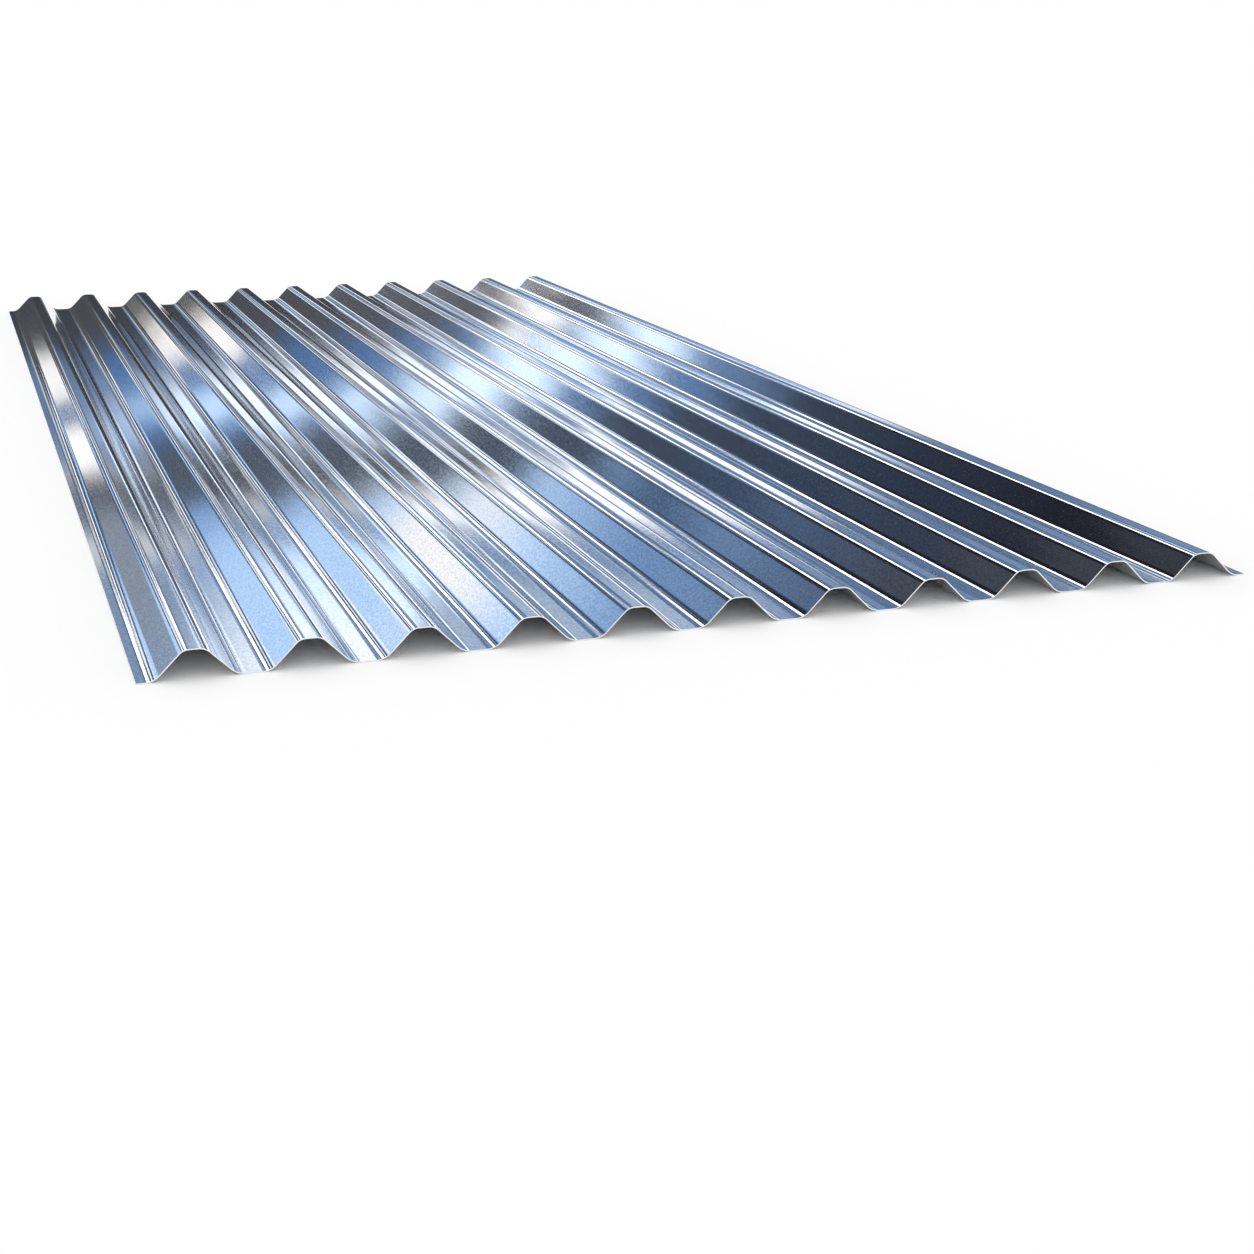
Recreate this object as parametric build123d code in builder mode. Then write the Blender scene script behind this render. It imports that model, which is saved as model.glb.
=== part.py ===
from build123d import *
import math
import os

os.makedirs("parts", exist_ok=True)

# Sheet, all sizes in millimetres.
# The sheet lies flat: length along Y, waves side by side along X, the
# undersides of the pans on Z = 0.
sheet_length = 1829.0     # cut length, six feet
sheet_thickness = 0.8     # galvanised steel, the same all along the section

# Rolled wave, one crest and the half pan on either side of it.
wave_count = 11           # crests across the sheet
wave_pitch = 76.2         # crest to crest
wave_depth = 20.0         # underside of a pan to underside of a crest
flank_angle = 45.0        # slope of the straight flanks, degrees
crest_flat = 6.5          # flat strip along the top of each crest
crest_bend_radius = 9.2   # inside of the bends beside a crest, on the underside
pan_bend_radius = 13.2    # inside of the bends beside a pan, on the top face

# The underside turns on the inside of the bend at a crest and on the
# outside of it at a pan, so the sheet keeps its thickness round both.
pan_outer_radius = pan_bend_radius + sheet_thickness
corner_setback = math.tan(math.radians(flank_angle / 2))
crest_half = crest_flat / 2 + crest_bend_radius * corner_setback
flank_run = wave_depth / math.tan(math.radians(flank_angle))
foot_offset = crest_half + flank_run

# Each long edge ends half way across a pan: a short flat lip that
# lies in the first pan of the next sheet where two sheets lap.
sheet_width = wave_count * wave_pitch
left_edge = -sheet_width / 2

underside = [(left_edge, 0.0)]
bend_radii = []
for wave in range(wave_count):
    crest_x = left_edge + (wave + 0.5) * wave_pitch
    underside += [
        (crest_x - foot_offset, 0.0),
        (crest_x - crest_half, wave_depth),
        (crest_x + crest_half, wave_depth),
        (crest_x + foot_offset, 0.0),
    ]
    bend_radii += [
        pan_outer_radius,
        crest_bend_radius,
        crest_bend_radius,
        pan_outer_radius,
    ]
underside.append((-left_edge, 0.0))

# Corrugated sheet: one strip of steel, roll formed, then cut to length.
# The wave line is the rolled underside. Setting it off by the thickness
# gives the top face, and the square cut edges close the section.
with BuildPart() as corrugated_sheet:
    with BuildSketch(Plane.XZ.offset(sheet_length / 2)) as wave_section:
        with BuildLine() as wave_line:
            FilletPolyline(*underside, radius=bend_radii)
            offset(amount=sheet_thickness, side=Side.LEFT)
        make_face()
    extrude(amount=-sheet_length)
corrugated_sheet.part.label = "corrugated_sheet"
export_step(corrugated_sheet.part, "parts/corrugated_sheet.step")
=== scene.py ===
"""Corrugated roofing sheet: one galvanised sheet, roll formed in even waves, on a pale studio floor.

Sizes are in metres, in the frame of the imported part: waves side by side along X,
length along Y, undersides of the pans on Z = 0.
"""

import math
import typing

import bpy
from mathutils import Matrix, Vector


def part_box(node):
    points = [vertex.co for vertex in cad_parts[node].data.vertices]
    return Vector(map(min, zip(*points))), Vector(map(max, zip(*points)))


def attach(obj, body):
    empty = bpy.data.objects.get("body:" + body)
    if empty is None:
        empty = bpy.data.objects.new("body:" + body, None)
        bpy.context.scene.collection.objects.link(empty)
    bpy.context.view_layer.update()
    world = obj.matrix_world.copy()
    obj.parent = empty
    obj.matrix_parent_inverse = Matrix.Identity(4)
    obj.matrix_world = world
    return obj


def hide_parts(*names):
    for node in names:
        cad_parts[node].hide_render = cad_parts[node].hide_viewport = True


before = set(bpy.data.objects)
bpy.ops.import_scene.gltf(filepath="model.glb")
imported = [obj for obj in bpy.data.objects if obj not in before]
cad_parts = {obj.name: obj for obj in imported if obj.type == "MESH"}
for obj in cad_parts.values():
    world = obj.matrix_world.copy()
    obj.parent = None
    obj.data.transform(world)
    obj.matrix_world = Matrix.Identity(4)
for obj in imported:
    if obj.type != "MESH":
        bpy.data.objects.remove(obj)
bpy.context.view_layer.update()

bl_info = {
    "name": "Corrugated Roofing Sheet",
    "version": (1, 0, 0),
    "blender": (4, 5, 0),
    "location": "3D View > Sidebar > Roofing",
    "description": "Rolls one galvanised corrugated sheet and sets it in a plain studio",
    "category": "Add Mesh",
}

NODE = "corrugated_sheet"
SHEET_LOW, SHEET_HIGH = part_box(NODE)
MM = 0.001
THICKNESS = 0.8 * MM


# Node trees


class Nodes:
    """Adds nodes to a tree. A socket given for an input is linked, any other value is set."""

    def __init__(self, tree):
        self.tree = tree

    def add(self, kind, inputs=None, **settings):
        """A new node, with its settings made before its inputs are looked up."""
        made = self.tree.nodes.new(kind)
        for name, value in settings.items():
            setattr(made, name, value)
        for key, value in (inputs or {}).items():
            self.feed(self.socket(made.inputs, key), value)
        return made

    def take(self, kind, inputs=None, key=None, **settings):
        """A new node's output called key, or its first one in use."""
        return self.out(self.add(kind, inputs, **settings), key)

    def feed(self, target, value):
        if isinstance(value, bpy.types.NodeSocket):
            self.tree.links.new(value, target)
        else:
            target.default_value = value

    def socket(self, sockets, key):
        """The socket with that number, or the one in use with that name."""
        if isinstance(key, int):
            return sockets[key]
        return next(s for s in sockets if s.enabled and s.name == key)

    def out(self, made, key=None):
        """The output called key, or the first one in use."""
        if key is None:
            return next(s for s in made.outputs if s.enabled)
        return self.socket(made.outputs, key)

    def math(self, operation, *values):
        return self.take("ShaderNodeMath", dict(enumerate(values)), operation=operation)

    def same(self, first, second):
        """1 where two whole numbers are the same, else 0."""
        return self.math("COMPARE", first, second, 0.5)

    def blend(self, low, high, share):
        """low where share is 0, high where it is 1."""
        span = self.math("SUBTRACT", high, low)
        return self.math("MULTIPLY_ADD", span, share, low)

    def vector(self, x=0.0, y=0.0, z=0.0):
        return self.take("ShaderNodeCombineXYZ", {"X": x, "Y": y, "Z": z})


# The rolled sheet

# Corners of a wave, numbered from 0. Its middle lies between the second and the third,
# and those two, which are the crest's, are less than CREST_REACH from it.
CORNERS = 4
MIDDLE_CORNER = 1.5
CREST_REACH = 0.6
# Steps round a bend, and cuts across a straight run.
BEND_STEPS = 8
STRAIGHT_CUTS = 5
# How much of the way to the nearer end of its run an outer cut is moved.
END_PULL = 0.9
# Rows of points along the sheet.
STATIONS = 49
# Cells of the slack's noise to a metre along X, Y and Z, longer along the waves than across.
SLACK_SCALE = (5.0, 1.6, 0.0)
SLACK_SEED = 3.0
# Points nearer to each other than this are welded.
WELD_GAP = 0.01 * MM

SHEET_INPUTS = (
    ("Length", "NodeSocketFloat"),
    ("Pitch", "NodeSocketFloat"),
    ("Waves", "NodeSocketInt"),
    ("Depth", "NodeSocketFloat"),
    ("Thickness", "NodeSocketFloat"),
    ("Flank Angle", "NodeSocketFloat"),
    ("Crest Flat", "NodeSocketFloat"),
    ("Crest Bend", "NodeSocketFloat"),
    ("Pan Bend", "NodeSocketFloat"),
    ("Waviness", "NodeSocketFloat"),
    ("Hollow", "NodeSocketFloat"),
    ("Bend Steps", "NodeSocketInt"),
    ("Straight Cuts", "NodeSocketInt"),
    ("Stations", "NodeSocketInt"),
    ("Seed", "NodeSocketFloat"),
    ("Zinc", "NodeSocketMaterial"),
    ("Cut Steel", "NodeSocketMaterial"),
)


def corner_places(nodes, size):
    """Where each corner of the section lies before it is rounded, and 1 where it is a crest's."""
    half_slope = nodes.math("TANGENT", nodes.math("MULTIPLY", size["Flank Angle"], 0.5))
    half_flat = nodes.math("MULTIPLY", size["Crest Flat"], 0.5)
    crest_half = nodes.math("MULTIPLY_ADD", size["Crest Bend"], half_slope, half_flat)
    run = nodes.math("DIVIDE", size["Depth"], nodes.math("TANGENT", size["Flank Angle"]))
    foot = nodes.math("ADD", crest_half, run)
    width = nodes.math("MULTIPLY", size["Waves"], size["Pitch"])
    half_width = nodes.math("MULTIPLY", width, 0.5)

    # Foot, crest, crest, foot in every wave, and one point more at each edge of the sheet.
    step = nodes.math("SUBTRACT", nodes.take("GeometryNodeInputIndex"), 1)
    wave = nodes.math("FLOOR", nodes.math("DIVIDE", step, CORNERS))
    corner = nodes.math("FLOORED_MODULO", step, CORNERS)
    right = nodes.math("GREATER_THAN", corner, MIDDLE_CORNER)
    side = nodes.math("MULTIPLY_ADD", right, 2, -1)
    raised = nodes.math("COMPARE", corner, MIDDLE_CORNER, CREST_REACH)
    wave_middle = nodes.math("MULTIPLY", nodes.math("ADD", wave, 0.5), size["Pitch"])
    crest_x = nodes.math("SUBTRACT", wave_middle, half_width)
    reach = nodes.blend(foot, crest_half, raised)
    x = nodes.math("MULTIPLY_ADD", side, reach, crest_x)
    x = nodes.math("MINIMUM", x, half_width)
    x = nodes.math("MAXIMUM", x, nodes.math("MULTIPLY", half_width, -1))
    z = nodes.math("MULTIPLY", raised, size["Depth"])
    return nodes.vector(x, 0.0, z), raised


def section_line(nodes, size):
    """The underside of the rolled section as a curve along X, with a rounded bend at every corner."""
    place, raised = corner_places(nodes, size)
    count = nodes.math("MULTIPLY_ADD", size["Waves"], CORNERS, 2)
    line = nodes.take("GeometryNodeMeshLine", {"Count": count}, mode="OFFSET")
    placed = nodes.take("GeometryNodeSetPosition", {"Geometry": line, "Position": place})
    curve = nodes.take("GeometryNodeMeshToCurve", {"Mesh": placed})
    pan_outer = nodes.math("ADD", size["Pan Bend"], size["Thickness"])
    radius = nodes.blend(pan_outer, size["Crest Bend"], raised)
    rounded = nodes.take(
        "GeometryNodeFilletCurve",
        {"Curve": curve, "Count": size["Bend Steps"], "Radius": radius},
        mode="POLY",
    )
    return straight_cuts(nodes, size, rounded)


def straight_cuts(nodes, size, line):
    """Cuts each straight run into pieces, the outer cuts close to its ends.

    That keeps the soft shading of the bends off the run, which shades flat.
    """
    arc_points = nodes.math("ADD", size["Bend Steps"], 1)
    index = nodes.take("GeometryNodeInputIndex")
    begins_run = nodes.same(nodes.math("FLOORED_MODULO", index, arc_points), 0)
    cuts = nodes.math("MULTIPLY", begins_run, size["Straight Cuts"])
    divided = nodes.take("GeometryNodeSubdivideCurve", {"Curve": line, "Cuts": cuts})

    # An outer cut looks up the nearer end of its run, any other point looks up itself.
    repeat = nodes.math("ADD", arc_points, size["Straight Cuts"])
    turn = nodes.math("FLOORED_MODULO", index, repeat)
    first = nodes.same(turn, 1)
    last = nodes.same(turn, size["Straight Cuts"])
    neighbour = nodes.math("SUBTRACT", nodes.math("ADD", index, last), first)
    pulled = nodes.take(
        "ShaderNodeMix",
        {
            "Factor": END_PULL,
            "A": nodes.take("GeometryNodeInputPosition"),
            "B": point_at(nodes, divided, neighbour),
        },
        data_type="VECTOR",
    )
    return nodes.take("GeometryNodeSetPosition", {"Geometry": divided, "Position": pulled})


def point_at(nodes, line, index):
    """The place of the line's point with that number."""
    return nodes.take(
        "GeometryNodeSampleIndex",
        {"Geometry": line, "Value": nodes.take("GeometryNodeInputPosition"), "Index": index},
        data_type="FLOAT_VECTOR",
        domain="POINT",
    )


def swept_face(nodes, size, line):
    """The section line carried along Y as one face, row by row."""
    points = nodes.take(
        "GeometryNodeAttributeDomainSize", {"Geometry": line}, "Point Count", component="CURVE"
    )
    stations = size["Stations"]
    grid = nodes.take("GeometryNodeMeshGrid", {"Vertices X": points, "Vertices Y": stations})
    index = nodes.take("GeometryNodeInputIndex")
    column = nodes.math("FLOOR", nodes.math("DIVIDE", index, stations))
    row = nodes.math("FLOORED_MODULO", index, stations)
    along = nodes.math("DIVIDE", row, nodes.math("SUBTRACT", stations, 1))
    y = nodes.math("MULTIPLY", nodes.math("SUBTRACT", along, 0.5), size["Length"])
    on_line = nodes.add("ShaderNodeSeparateXYZ", {"Vector": point_at(nodes, line, column)})
    place = nodes.vector(nodes.out(on_line, "X"), y, nodes.out(on_line, "Z"))
    return nodes.take("GeometryNodeSetPosition", {"Geometry": grid, "Position": place})


def slack(nodes, size, face):
    """Lets the crests sag a little here and there, as thin sheet does; the pans stay on the floor."""
    position = nodes.take("GeometryNodeInputPosition")
    scaled = nodes.take(
        "ShaderNodeVectorMath", {0: position, 1: SLACK_SCALE}, operation="MULTIPLY"
    )
    noise = nodes.take(
        "ShaderNodeTexNoise",
        {"Vector": scaled, "W": size["Seed"], "Scale": 1.0, "Detail": 1.0},
        noise_dimensions="4D",
    )
    height = nodes.take("ShaderNodeSeparateXYZ", {"Vector": position}, "Z")
    share = nodes.math("DIVIDE", height, size["Depth"])
    sag = nodes.math("MULTIPLY", nodes.math("MULTIPLY", share, size["Waviness"]), noise)
    # The flanks are a hair hollow: this parabola is 0 at their foot and top and 1 half way up.
    middle = nodes.math("MULTIPLY", share, nodes.math("MULTIPLY_ADD", share, -4, 4))
    drop = nodes.math("MULTIPLY_ADD", middle, size["Hollow"], sag)
    down = nodes.vector(z=nodes.math("MULTIPLY", drop, -1))
    return nodes.take("GeometryNodeSetPosition", {"Geometry": face, "Offset": down})


def sheet_tree():
    """A node group that rolls the whole sheet from its sizes."""
    tree = bpy.data.node_groups.new("rolled_sheet", "GeometryNodeTree")
    for name, kind in SHEET_INPUTS:
        tree.interface.new_socket(name, in_out="INPUT", socket_type=kind)
    tree.interface.new_socket("Geometry", in_out="OUTPUT", socket_type="NodeSocketGeometry")
    nodes = Nodes(tree)
    size = nodes.add("NodeGroupInput").outputs

    # The extrusion makes the top and the rim, the underside turned over closes them below.
    underside = slack(nodes, size, swept_face(nodes, size, section_line(nodes, size)))
    thick = nodes.add(
        "GeometryNodeExtrudeMesh",
        {"Mesh": underside, "Offset Scale": size["Thickness"], "Individual": False},
        mode="FACES",
    )
    bottom = nodes.take("GeometryNodeFlipFaces", {"Mesh": underside})
    joined = nodes.add("GeometryNodeJoinGeometry")
    for part in (nodes.out(thick, "Mesh"), bottom):
        tree.links.new(part, joined.inputs[0])
    closed = nodes.take(
        "GeometryNodeMergeByDistance", {"Geometry": nodes.out(joined), "Distance": WELD_GAP}
    )

    # A crisp arris all round the cut edges, the rest is smooth.
    rim = nodes.out(thick, "Side")
    smooth = nodes.take(
        "GeometryNodeSetShadeSmooth",
        {"Geometry": closed, "Shade Smooth": nodes.math("SUBTRACT", 1, rim)},
        domain="FACE",
    )
    crisp = nodes.take(
        "GeometryNodeSetShadeSmooth",
        {"Geometry": smooth, "Selection": rim, "Shade Smooth": False},
        domain="EDGE",
    )
    whole = nodes.take("GeometryNodeRealizeInstances", {"Geometry": crisp})
    zinc = nodes.take("GeometryNodeSetMaterial", {"Geometry": whole, "Material": size["Zinc"]})
    cut = nodes.take(
        "GeometryNodeSetMaterial",
        {"Geometry": zinc, "Selection": rim, "Material": size["Cut Steel"]},
    )
    nodes.add("NodeGroupOutput", {"Geometry": cut})
    return tree


def evaluated_mesh(tree, values, name):
    """The mesh that a node tree makes from its named values; the tree is then removed."""
    blank = bpy.data.objects.new(name + "_blank", bpy.data.meshes.new(name + "_blank"))
    bpy.context.scene.collection.objects.link(blank)
    modifier = blank.modifiers.new("roll", "NODES")
    modifier.node_group = tree
    identifiers = {
        item.name: item.identifier
        for item in tree.interface.items_tree
        if item.item_type == "SOCKET" and item.in_out == "INPUT"
    }
    for key, value in values.items():
        modifier[identifiers[key]] = value
    graph = bpy.context.evaluated_depsgraph_get()
    mesh = bpy.data.meshes.new_from_object(
        blank.evaluated_get(graph), preserve_all_data_layers=True, depsgraph=graph
    )
    mesh.name = name
    blank_mesh = blank.data
    bpy.data.objects.remove(blank)
    bpy.data.meshes.remove(blank_mesh)
    bpy.data.node_groups.remove(tree)
    return mesh


# Finishes

# Scales of the noises, in cells to a metre along X, Y and Z.
FROST_SCALE = (500.0, 330.0, 500.0)
SPECK_SCALE = (900.0, 700.0, 900.0)
STREAK_SCALE = (420.0, 3.0, 420.0)
CLOUD_SCALE = (9.0, 3.5, 9.0)
DRIFT_SCALE = (14.0, 5.0, 14.0)
DRAG_SCALE = (1800.0, 1800.0, 250.0)

# The frost has this share of specks in it, and the zinc's tone this share of clouds.
SPECK_SHARE = 0.35
CLOUD_SHARE = 0.15
# The frost's noise from bare zinc to full frost.
BARE_ZINC = 0.38
FULL_FROST = 0.62
STREAK_HEIGHT = 0.005 * MM

CUT_SHADE = (0.86, 0.87, 0.88)
CUT_LIGHT = (0.98, 0.985, 0.99)
CUT_ROUGHNESS = 0.3
DRAG_HEIGHT = 0.05 * MM


def new_material(name):
    """A material without nodes, and what adds nodes to it."""
    material = bpy.data.materials.new(name)
    material.use_nodes = True
    material.node_tree.nodes.clear()
    return material, Nodes(material.node_tree)


def scaled_noise(nodes, place, scale, detail, roughness=0.5, turn=0.0):
    """Noise that is finer along the axes with the larger scale; a turn sets it apart from others."""
    scaled = nodes.take(
        "ShaderNodeMapping", {"Vector": place, "Rotation": (0.0, 0.0, turn), "Scale": scale}
    )
    return nodes.take(
        "ShaderNodeTexNoise",
        {"Vector": scaled, "Scale": 1.0, "Detail": detail, "Roughness": roughness},
    )


def tint(nodes, share, low, high):
    """The colour low where share is 0, high where it is 1."""
    return nodes.take(
        "ShaderNodeMix",
        {"Factor": share, "A": (*low, 1.0), "B": (*high, 1.0)},
        data_type="RGBA",
    )


def bump(nodes, height, strength, distance, under=None):
    """A bump on the bare surface, or on top of another bump."""
    inputs = {"Height": height, "Strength": strength, "Distance": distance}
    if under is not None:
        inputs["Normal"] = under
    return nodes.take("ShaderNodeBump", inputs)


def add_metal(nodes, tone, roughness, normal):
    """Makes the material bare metal."""
    surface = nodes.take(
        "ShaderNodeBsdfPrincipled",
        {"Base Color": tone, "Metallic": 1.0, "Roughness": roughness, "Normal": normal},
    )
    nodes.add("ShaderNodeOutputMaterial", {"Surface": surface})


def zinc_material(finish):
    """Bright zinc on rolled steel: a fine frosty grain, rolling streaks along Y and a slow drift."""
    material, nodes = new_material("bright_zinc")
    place = nodes.take("ShaderNodeTexCoord", key="Object")
    frost = scaled_noise(nodes, place, FROST_SCALE, detail=2.0, roughness=0.6, turn=0.8)
    speck = scaled_noise(nodes, place, SPECK_SCALE, detail=1.0, turn=-0.5)
    streak = scaled_noise(nodes, place, STREAK_SCALE, detail=2.0, roughness=0.6)
    cloud = scaled_noise(nodes, place, CLOUD_SCALE, detail=3.0)
    drift = scaled_noise(nodes, place, DRIFT_SCALE, detail=1.0)

    specked = nodes.blend(frost, speck, SPECK_SHARE)
    grain = nodes.take(
        "ShaderNodeMapRange", {"Value": specked, "From Min": BARE_ZINC, "From Max": FULL_FROST}
    )
    clouded = nodes.blend(grain, cloud, CLOUD_SHARE)
    tone = tint(nodes, clouded, finish.zinc_shade, finish.zinc_light)
    frosty = nodes.math("POWER", grain, 2.0)
    rough = nodes.math("MULTIPLY_ADD", frosty, finish.frost, finish.roughness)

    slow = bump(nodes, drift, strength=1.0, distance=finish.drift)
    lines = bump(nodes, streak, strength=0.5, distance=STREAK_HEIGHT, under=slow)
    fine = bump(nodes, frost, strength=0.5, distance=finish.grain, under=lines)
    add_metal(nodes, tone, rough, fine)
    return material


def cut_steel_material():
    """Bare steel on the cut edges, with the fine drag marks of the shear."""
    material, nodes = new_material("cut_steel")
    place = nodes.take("ShaderNodeTexCoord", key="Object")
    drag = scaled_noise(nodes, place, DRAG_SCALE, detail=2.0)
    tone = tint(nodes, drag, CUT_SHADE, CUT_LIGHT)
    marks = bump(nodes, drag, strength=0.4, distance=DRAG_HEIGHT)
    add_metal(nodes, tone, CUT_ROUGHNESS, marks)
    return material


# The studio

WHITE = (1.0, 1.0, 1.0)
WARM_WHITE = (1.0, 0.97, 0.93)
ICE_BLUE = (0.74, 0.89, 1.06)
PALE_BLUE = (0.52, 0.75, 1.08)
SKY_BLUE = (0.33, 0.54, 0.92)
CLOUD_BLUE = (0.43, 0.54, 0.71)
LEAD = (0.27, 0.32, 0.39)
BLUE_GREY = (0.24, 0.33, 0.46)
MIST = (0.21, 0.31, 0.50)
DUSK_BLUE = (0.20, 0.33, 0.57)
FOG = (0.19, 0.255, 0.37)
STEEL_BLUE = (0.13, 0.21, 0.36)
GREY = (0.13, 0.13, 0.135)
INK_BLUE = (0.09, 0.195, 0.42)
ASH = (0.095, 0.115, 0.145)
HAZE = (0.075, 0.092, 0.125)
DEEP_BLUE = (0.07, 0.11, 0.185)
SLATE = (0.05, 0.054, 0.062)
DEEP_SLATE = (0.035, 0.052, 0.085)
NIGHT = (0.016, 0.017, 0.026)


class Card(typing.NamedTuple):
    """A curved card or softbox round the sheet that only reflections see.

    The sides are in degrees as seen from the sheet, azimuth to the right of +Y
    and elevation above the floor; lean tips its top to the right. The fades are
    how many degrees it takes to appear from its left, right, lower and upper edge.
    """

    name: str
    left: float
    right: float
    low: float
    high: float
    low_colour: tuple
    high_colour: tuple
    fades: tuple
    lean: float = 0.0
    strength: float = 1.0

    @property
    def width(self):
        return self.right - self.left

    @property
    def height(self):
        return self.high - self.low


# Every group of cards goes from the farthest to the nearest, and so do the groups.
WALLS = (
    Card("high_wall", -14, 60, 15.5, 80, STEEL_BLUE, STEEL_BLUE, (1, 6, 1.5, 8)),
    Card("pan_wall", -1.5, 14, 7, 12.5, STEEL_BLUE, MIST, (2, 8, 1, 1)),
    Card("right_wall", 23, 60, 8, 15, STEEL_BLUE, STEEL_BLUE, (6, 6, 1, 1)),
    Card("low_wall", -60, 60, -8, 9.5, SLATE, SLATE, (5, 5, 1, 1.2)),
    Card("low_right_wall", 11, 60, -8, 9, SLATE, STEEL_BLUE, (7, 5, 1, 1)),
    Card("back_wall", -10.5, 0, -2, 24, SLATE, GREY, (0.6, 4, 1, 3)),
    Card("dusk_wall", -60, -8, 14, 26, SKY_BLUE, DEEP_BLUE, (4, 0.8, 3.5, 2)),
    Card("deep_wall", -60, -8, 21.5, 80, DEEP_BLUE, DEEP_BLUE, (4, 1, 4, 8)),
    Card("night_wall", -45, -8, 20, 70, NIGHT, NIGHT, (8, 1, 12, 8)),
    Card("front_haze", -25, -15.6, 21, 38, HAZE, SLATE, (3, 1.3, 3, 6)),
    Card("front_glow", -25, -15.6, 20.5, 26, STEEL_BLUE, STEEL_BLUE, (3, 1.3, 1.5, 4)),
)
# The bands on the flanks that face left.
LEFT_FLANK_CARDS = (
    Card("left_blue", -25, -12.8, 2.5, 21, SKY_BLUE, INK_BLUE, (2, 0.9, 3, 5)),
    Card(
        "left_softbox", -24, -12.7, 4.5, 19.2, PALE_BLUE, PALE_BLUE, (2, 1.1, 3.5, 4),
        lean=11, strength=1.05,
    ),
    Card(
        "left_white", -18.5, -13, 11, 16.2, WHITE, WHITE, (3, 0.9, 1.5, 2.6),
        lean=9, strength=1.15,
    ),
    Card("left_grey", -26, -12.6, 0.5, 6.2, LEAD, LEAD, (2, 0.6, 1, 1.4)),
    Card("dusk_flag", -15.4, -11.5, 17.3, 30, DEEP_BLUE, NIGHT, (1.6, 0.8, 2.5, 4)),
    Card("dark_flag", -13.4, -10.6, 3, 27, ASH, DEEP_SLATE, (0.8, 0.7, 1, 3), lean=2),
    Card("leaning_blue", -11.4, -8.2, 1, 22.5, INK_BLUE, INK_BLUE, (0.5, 0.8, 3, 3), lean=3),
    Card(
        "low_softbox", -11.2, -9.85, 3.5, 14.5, PALE_BLUE, ICE_BLUE, (0.6, 0.6, 3, 2.5),
        strength=1.4,
    ),
    Card(
        "leaning_softbox", -10.7, -8.2, 11, 21.5, ICE_BLUE, ICE_BLUE, (0.9, 1.2, 3, 2),
        lean=13, strength=1.55,
    ),
    Card(
        "rear_patch", -9.35, -7.8, 5.2, 8.2, WARM_WHITE, WARM_WHITE, (0.3, 0.3, 0.6, 0.6),
        strength=1.3,
    ),
    Card(
        "low_patch", -12.6, -10.8, 2.4, 4.3, WARM_WHITE, WHITE, (0.5, 0.4, 0.5, 0.5),
        strength=1.35,
    ),
    Card(
        "low_rear_patch", -10.5, -8.75, 1.8, 3.6, WHITE, WARM_WHITE, (0.4, 0.4, 0.5, 0.5),
        strength=1.2,
    ),
    Card(
        "right_patch", -8.8, -7.3, 14.9, 16.9, WARM_WHITE, WHITE, (0.4, 0.4, 0.5, 0.5),
        strength=1.4,
    ),
)
# The bands on the pans and on top of the crests.
PAN_CARDS = (
    Card("blue_wall", -1.5, 9, 14, 26, BLUE_GREY, DUSK_BLUE, (1.5, 3, 1, 4)),
    Card("pan_sky", 5, 50, 13, 18.8, MIST, MIST, (2, 5, 0.8, 1)),
    Card("front_sky", 11.5, 26, 15.2, 19, CLOUD_BLUE, CLOUD_BLUE, (2, 6, 0.8, 1)),
    Card("pan_dusk", 23.5, 29.5, 13, 14.6, STEEL_BLUE, STEEL_BLUE, (1, 1, 0.5, 0.5)),
    Card("low_sky", 14, 30, 6.5, 10.8, STEEL_BLUE, SKY_BLUE, (3, 5, 1.5, 0.8)),
    Card(
        "pan_softbox", 4.6, 13.6, 14, 18.8, PALE_BLUE, WHITE, (4.6, 1.5, 0.8, 0.8),
        lean=-15, strength=1.35,
    ),
    Card("pan_strip", 11.8, 25.5, 12.75, 14.3, WHITE, WHITE, (1, 3, 0.4, 0.7), strength=1.45),
    Card(
        "right_strip", 17, 28, 10.2, 13, ICE_BLUE, WHITE, (1, 4, 0.6, 0.8),
        lean=-20, strength=1.6,
    ),
    Card(
        "low_strip", 2.6, 16.6, 9.15, 11.4, WHITE, PALE_BLUE, (5, 1.2, 0.7, 0.6),
        lean=-50, strength=1.6,
    ),
    Card(
        "low_strip_end", 11.8, 16.8, 8.2, 9.7, PALE_BLUE, WHITE, (0.8, 1, 0.6, 0.5),
        lean=-30, strength=1.3,
    ),
    Card("left_pan_flag", -3, 8, 12, 14.3, GREY, FOG, (3, 1.5, 0.5, 0.8)),
    Card("pan_flag", 2, 15.8, 11.3, 13.4, SLATE, SLATE, (6, 1.5, 0.5, 0.8)),
    Card("low_pan_flag", 11.3, 18.4, 10.3, 11.6, STEEL_BLUE, STEEL_BLUE, (1, 0.8, 0.4, 0.4)),
    Card("mid_pan_flag", 15.2, 17.7, 11.1, 12.4, BLUE_GREY, BLUE_GREY, (0.6, 0.6, 0.4, 0.4)),
)
# The bright and dark lines along the bends.
BEND_CARDS = (
    Card(
        "edge_softbox", -6.7, -4.8, 8, 17.5, PALE_BLUE, WHITE, (0.4, 0.5, 2, 1.5),
        strength=1.7,
    ),
    Card(
        "shoulder_softbox", -5.2, 0.8, 15.5, 25.5, WHITE, WHITE, (0.6, 1.4, 2, 3.5),
        strength=2.4,
    ),
    Card("shoulder_flag", 0.6, 2.6, 9.5, 25.5, DEEP_BLUE, DEEP_BLUE, (0.6, 0.8, 1.5, 3)),
    Card("bend_flag", -12, 0.2, 24.5, 60, NIGHT, NIGHT, (1, 0.7, 3, 8)),
    Card("top_softbox", -0.4, 8.5, 24, 44, WHITE, WHITE, (0.6, 1.5, 3, 6), strength=2.3),
    Card("top_flag", 9, 12, 24, 44, DEEP_BLUE, DEEP_BLUE, (1, 1.5, 1.5, 6)),
)
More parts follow.
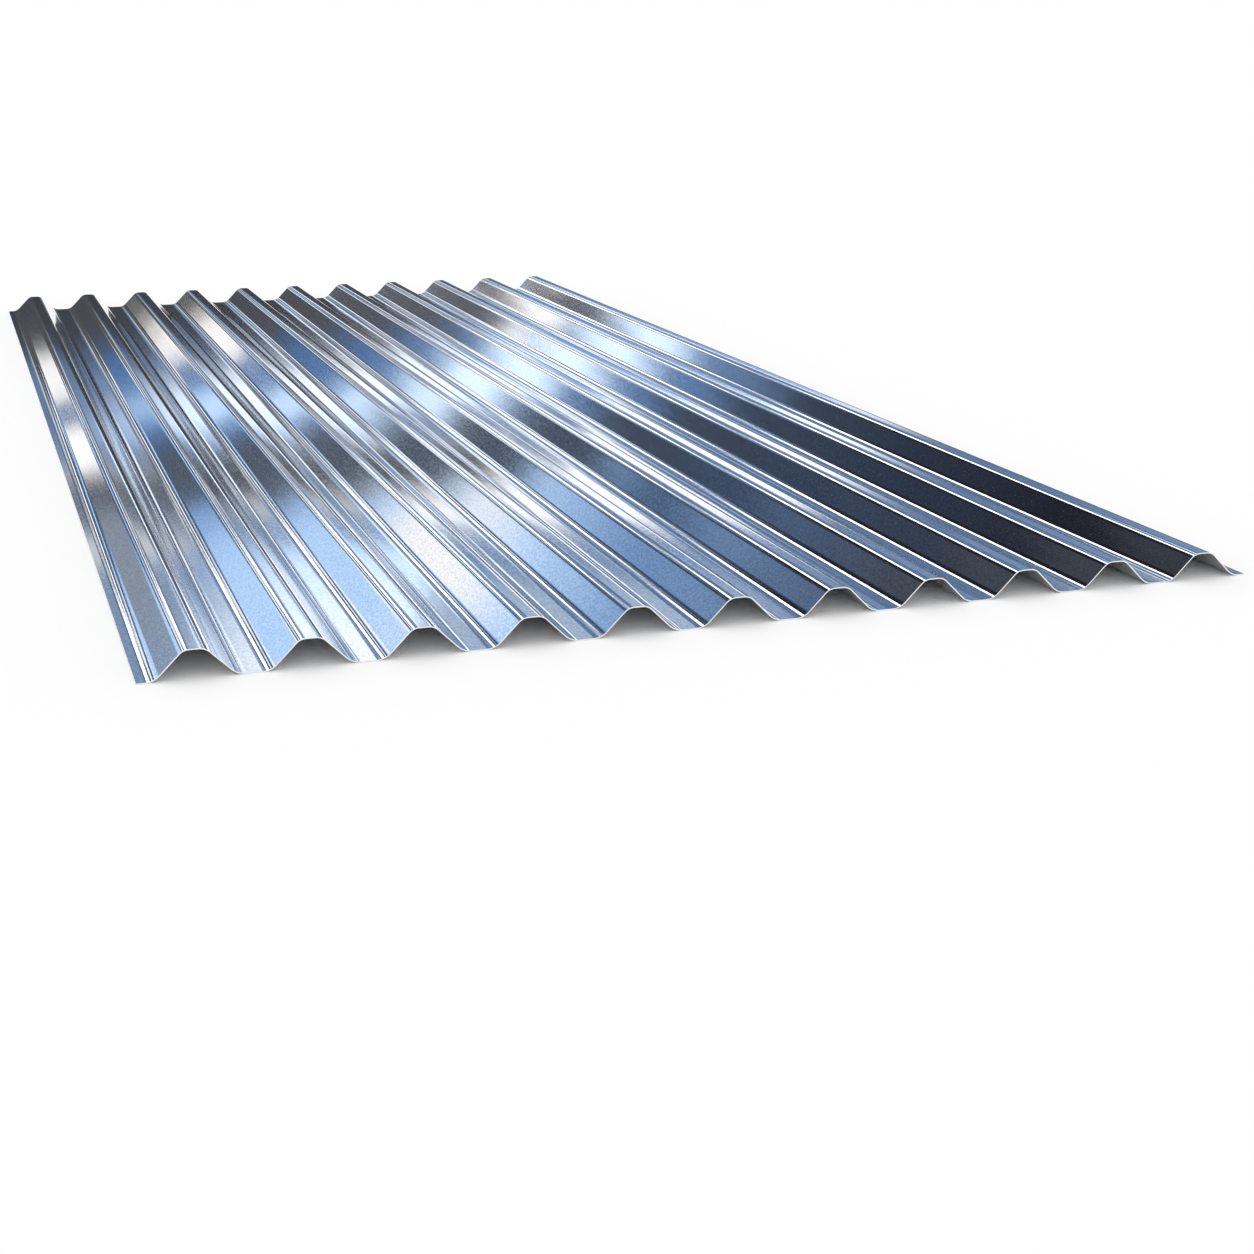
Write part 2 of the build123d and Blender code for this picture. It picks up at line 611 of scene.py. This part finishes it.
# The flanks that face right.
RIGHT_FLANK_CARDS = (
    Card("side_wall", 14, 62, 27, 80, BLUE_GREY, STEEL_BLUE, (5, 5, 5, 8)),
    Card("side_softbox_1", 18, 42, 28, 35, ICE_BLUE, WHITE, (4, 4, 2.5, 2.5), strength=1.15),
    Card("side_flag", 20, 50, 35.5, 41, SLATE, DEEP_BLUE, (5, 5, 2, 2)),
    Card("side_softbox_2", 24, 50, 41, 49, WHITE, ICE_BLUE, (4, 4, 2.5, 3), strength=1.15),
    Card("side_softbox_3", 30, 62, 55, 63, PALE_BLUE, WHITE, (5, 5, 3, 3)),
)
# A glow low at the back, one far to the left and one behind the camera.
FILL_CARDS = (
    Card("low_glow", -6.5, 8, -3, 4.8, MIST, FOG, (1.5, 2, 1, 2)),
    Card("far_softbox", -50, -41, 12, 50, PALE_BLUE, WHITE, (4, 4, 4, 6), lean=15),
    Card("front_softbox", 158, 204, -6, 40, WHITE, WHITE, (4, 4, 4, 8), strength=1.3),
)

# Upright softboxes before a dark wall, from the right side round behind the camera
# to the left side, for views from other sides.
RING_COUNT = 16
RING_START = 62
RING_SPACING = 15
RING_WIDTH = 8


def ring_softbox(number):
    """One softbox of the ring, every second one brighter."""
    left = RING_START + RING_SPACING * number
    return Card(
        f"ring_softbox_{number + 1}", left, left + RING_WIDTH, -4, 78, WHITE, ICE_BLUE,
        (2, 2, 2, 8), lean=14, strength=1.2 if number % 2 else 1.0,
    )


RING_CARDS = (
    Card("ring_wall", 55, 305, -8, 84, DEEP_SLATE, STEEL_BLUE, (6, 6, 1, 6)),
    *(ring_softbox(number) for number in range(RING_COUNT)),
)
CARDS = (
    *WALLS,
    *LEFT_FLANK_CARDS,
    *PAN_CARDS,
    *BEND_CARDS,
    *RIGHT_FLANK_CARDS,
    *FILL_CARDS,
    *RING_CARDS,
)
# How far off the farthest card stands, each next one a metre nearer.
CARD_DISTANCE = 100.0
# The most degrees that a face of a card spans.
CARD_STEP = 3.0


def direction(azimuth, elevation):
    """Unit vector at that many degrees to the right of +Y and above the floor."""
    a, e = math.radians(azimuth), math.radians(elevation)
    return Vector((math.sin(a) * math.cos(e), math.cos(a) * math.cos(e), math.sin(e)))


def edge_fade(nodes, coordinate, low_share, high_share):
    """0 at both edges of a card, easing to 1 over those shares of its size."""
    rise = nodes.take(
        "ShaderNodeMapRange",
        {"Value": coordinate, "From Min": 0.0, "From Max": low_share},
        interpolation_type="SMOOTHSTEP",
    )
    fall = nodes.take(
        "ShaderNodeMapRange",
        {"Value": coordinate, "From Min": 1.0, "From Max": 1.0 - high_share},
        interpolation_type="SMOOTHSTEP",
    )
    return nodes.math("MULTIPLY", rise, fall)


def card_material(card):
    """Light in the card's two colours, clear towards its edges."""
    material, nodes = new_material(card.name)
    place = nodes.take("ShaderNodeTexCoord", key="UV")
    uv = nodes.add("ShaderNodeSeparateXYZ", {"Vector": place})
    across, up = nodes.out(uv, "X"), nodes.out(uv, "Y")
    tone = tint(nodes, up, card.low_colour, card.high_colour)
    light = nodes.take("ShaderNodeEmission", {"Color": tone, "Strength": card.strength})
    clear = nodes.take("ShaderNodeBsdfTransparent")
    left, right, low, high = card.fades
    mask = nodes.math(
        "MULTIPLY",
        edge_fade(nodes, across, left / card.width, right / card.width),
        edge_fade(nodes, up, low / card.height, high / card.height),
    )
    both = nodes.take("ShaderNodeMixShader", {0: mask, 1: clear, 2: light})
    nodes.add("ShaderNodeOutputMaterial", {"Surface": both})
    material.cycles.emission_sampling = "NONE"
    return material


def curved_mesh(card, reach):
    """A grid of faces that bends round the sheet at that distance, with its own UV map."""
    across, up = math.ceil(card.width / CARD_STEP), math.ceil(card.height / CARD_STEP)
    slope = math.tan(math.radians(card.lean))
    verts, shares = [], []
    for row in range(up + 1):
        for column in range(across + 1):
            u, v = column / across, row / up
            azimuth = card.left + card.width * u + card.height * (v - 0.5) * slope
            verts.append(direction(azimuth, card.low + card.height * v) * reach)
            shares.append((u, v))
    faces = []
    for row in range(up):
        for column in range(across):
            first = row * (across + 1) + column
            faces.append((first, first + 1, first + across + 2, first + across + 1))
    mesh = bpy.data.meshes.new(card.name)
    mesh.from_pydata(verts, [], faces)
    uv = mesh.uv_layers.new(name="card")
    for loop in mesh.loops:
        uv.data[loop.index].uv = shares[loop.vertex_index]
    return mesh


def add_card(order, card):
    """Stands a card or softbox where only reflections see it."""
    mesh = curved_mesh(card, CARD_DISTANCE - order)
    mesh.materials.append(card_material(card))
    made = bpy.data.objects.new(card.name, mesh)
    bpy.context.scene.collection.objects.link(made)
    made.visible_camera = False
    made.visible_diffuse = False
    made.visible_transmission = False
    made.visible_shadow = False


def add_floor(colour, side):
    """A square matt floor on Z = 0."""
    half = side / 2
    mesh = bpy.data.meshes.new("floor")
    mesh.from_pydata(
        [(-half, -half, 0), (half, -half, 0), (half, half, 0), (-half, half, 0)],
        [],
        [(0, 1, 2, 3)],
    )
    material, nodes = new_material("floor_paint")
    paint = nodes.take("ShaderNodeBsdfDiffuse", {"Color": (*colour, 1.0)})
    nodes.add("ShaderNodeOutputMaterial", {"Surface": paint})
    mesh.materials.append(material)
    floor = bpy.data.objects.new("floor", mesh)
    bpy.context.scene.collection.objects.link(floor)


def add_world():
    """Plain white all round, which lights the scene."""
    world = bpy.data.worlds.new("studio_white")
    world.use_nodes = True
    background = world.node_tree.nodes["Background"]
    background.inputs["Color"].default_value = (*WHITE, 1.0)
    background.inputs["Strength"].default_value = 1.0
    bpy.context.scene.world = world


def add_camera(studio):
    """A level camera, turned by the yaw and tilted down by the pitch."""
    data = bpy.data.cameras.new("camera")
    data.lens = studio.lens
    data.clip_end = 2 * CARD_DISTANCE
    camera = bpy.data.objects.new("camera", data)
    camera.location = studio.camera_place
    camera.rotation_euler = (
        math.radians(90) - studio.camera_pitch,
        0.0,
        -studio.camera_yaw,
    )
    bpy.context.scene.collection.objects.link(camera)
    bpy.context.scene.camera = camera


# Settings that a user would change


def length_property(name, description, default):
    return bpy.props.FloatProperty(
        name=name, description=description, default=default, min=0.0, unit="LENGTH",
        precision=5,
    )


def angle_property(name, description, degrees):
    return bpy.props.FloatProperty(
        name=name, description=description, default=math.radians(degrees), subtype="ANGLE"
    )


def share_property(name, description, default, least=0.0):
    return bpy.props.FloatProperty(
        name=name, description=description, default=default, min=least, max=1.0,
        subtype="FACTOR",
    )


def colour_property(name, description, default):
    return bpy.props.FloatVectorProperty(
        name=name, description=description, default=default, size=3, min=0.0, max=1.0,
        subtype="COLOR",
    )


class SheetSizes(bpy.types.PropertyGroup):
    """Sizes of the rolled sheet."""

    length: length_property("Length", "Cut length along the waves", SHEET_HIGH.y - SHEET_LOW.y)
    pitch: length_property("Pitch", "From crest to crest", 76.2 * MM)
    waves: bpy.props.IntProperty(
        name="Waves", description="Crests across the sheet", default=11, min=1
    )
    depth: length_property(
        "Depth", "From pan to crest, on the underside", SHEET_HIGH.z - SHEET_LOW.z - THICKNESS
    )
    thickness: length_property("Thickness", "Thickness of the steel", THICKNESS)
    flank_angle: angle_property("Flank Angle", "Slope of the flanks", 45)
    crest_flat: length_property("Crest Flat", "Flat strip on top of a crest", 6.5 * MM)
    crest_bend: length_property("Crest Bend", "Inner radius beside a crest", 9.2 * MM)
    pan_bend: length_property("Pan Bend", "Inner radius beside a pan", 13.2 * MM)
    waviness: length_property("Waviness", "Most that a crest sags", 0.25 * MM)
    hollow: length_property("Hollow", "How far the flanks are hollow", 0.12 * MM)


class SheetFinish(bpy.types.PropertyGroup):
    """Colours and texture of the zinc."""

    zinc_light: colour_property("Zinc Light", "Brightest zinc", (0.985, 0.988, 0.99))
    zinc_shade: colour_property("Zinc Shade", "Darkest zinc", (0.60, 0.62, 0.655))
    roughness: share_property("Roughness", "Least roughness of the zinc", 0.05, least=0.03)
    frost: share_property("Frost", "Extra roughness of the frosty specks", 0.03)
    grain: length_property("Grain", "Height of the fine grain", 0.010 * MM)
    drift: length_property("Drift", "Height of the slow waves in the steel", 0.16 * MM)


class StudioSettings(bpy.types.PropertyGroup):
    """Floor and camera."""

    floor_colour: colour_property("Floor", "Colour of the floor", (0.999, 0.999, 0.999))
    floor_side: length_property("Floor Side", "Side of the square floor", 120.0)
    lens: bpy.props.FloatProperty(
        name="Lens", description="Focal length in millimetres", default=57.99, min=1.0,
        unit="CAMERA",
    )
    camera_place: bpy.props.FloatVectorProperty(
        name="Camera Place", description="Where the camera stands", size=3,
        default=(-0.5178, -2.1874, 0.4113), subtype="TRANSLATION", unit="LENGTH",
    )
    camera_yaw: angle_property("Camera Yaw", "Turn to the right of +Y", 18.793)
    camera_pitch: angle_property("Camera Pitch", "Tilt below level", 16.754)


# Operators


class ROOFING_OT_sheet(bpy.types.Operator):
    """Roll the corrugated sheet and give it its zinc finish"""

    bl_idname = "roofing.sheet"
    bl_label = "Roll Sheet"

    def execute(self, context):
        sizes, finish = context.scene.sheet_sizes, context.scene.sheet_finish
        values = {
            "Length": sizes.length,
            "Pitch": sizes.pitch,
            "Waves": sizes.waves,
            "Depth": sizes.depth,
            "Thickness": sizes.thickness,
            "Flank Angle": sizes.flank_angle,
            "Crest Flat": sizes.crest_flat,
            "Crest Bend": sizes.crest_bend,
            "Pan Bend": sizes.pan_bend,
            "Waviness": sizes.waviness,
            "Hollow": sizes.hollow,
            "Bend Steps": BEND_STEPS,
            "Straight Cuts": STRAIGHT_CUTS,
            "Stations": STATIONS,
            "Seed": SLACK_SEED,
            "Zinc": zinc_material(finish),
            "Cut Steel": cut_steel_material(),
        }
        mesh = evaluated_mesh(sheet_tree(), values, "galvanised_sheet")
        if not mesh.polygons:
            raise RuntimeError("the node tree made no sheet")
        sheet = bpy.data.objects.new("galvanised_sheet", mesh)
        context.scene.collection.objects.link(sheet)
        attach(sheet, "root")
        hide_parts(NODE)
        return {"FINISHED"}


class ROOFING_OT_studio(bpy.types.Operator):
    """Set up the floor, the light, the reflected cards and the camera"""

    bl_idname = "roofing.studio"
    bl_label = "Set Up Studio"

    def execute(self, context):
        studio = context.scene.studio_settings
        add_floor(studio.floor_colour, studio.floor_side)
        add_world()
        for order, card in enumerate(CARDS):
            add_card(order, card)
        add_camera(studio)
        context.scene.view_settings.view_transform = "Standard"
        return {"FINISHED"}


class ROOFING_PT_panel(bpy.types.Panel):
    """Sizes, finish and studio of the corrugated sheet"""

    bl_idname = "ROOFING_PT_panel"
    bl_label = "Corrugated Sheet"
    bl_space_type = "VIEW_3D"
    bl_region_type = "UI"
    bl_category = "Roofing"

    def draw(self, context):
        scene = context.scene
        for group in (scene.sheet_sizes, scene.sheet_finish, scene.studio_settings):
            box = self.layout.box()
            for name in group.__annotations__:
                box.prop(group, name)
        self.layout.operator(ROOFING_OT_sheet.bl_idname)
        self.layout.operator(ROOFING_OT_studio.bl_idname)


CLASSES = (
    SheetSizes,
    SheetFinish,
    StudioSettings,
    ROOFING_OT_sheet,
    ROOFING_OT_studio,
    ROOFING_PT_panel,
)


def register():
    for cls in CLASSES:
        bpy.utils.register_class(cls)
    bpy.types.Scene.sheet_sizes = bpy.props.PointerProperty(type=SheetSizes)
    bpy.types.Scene.sheet_finish = bpy.props.PointerProperty(type=SheetFinish)
    bpy.types.Scene.studio_settings = bpy.props.PointerProperty(type=StudioSettings)


def unregister():
    del bpy.types.Scene.studio_settings
    del bpy.types.Scene.sheet_finish
    del bpy.types.Scene.sheet_sizes
    for cls in reversed(CLASSES):
        bpy.utils.unregister_class(cls)


def main():
    register()
    bpy.ops.roofing.sheet()
    bpy.ops.roofing.studio()


if __name__ == "__main__":
    main()
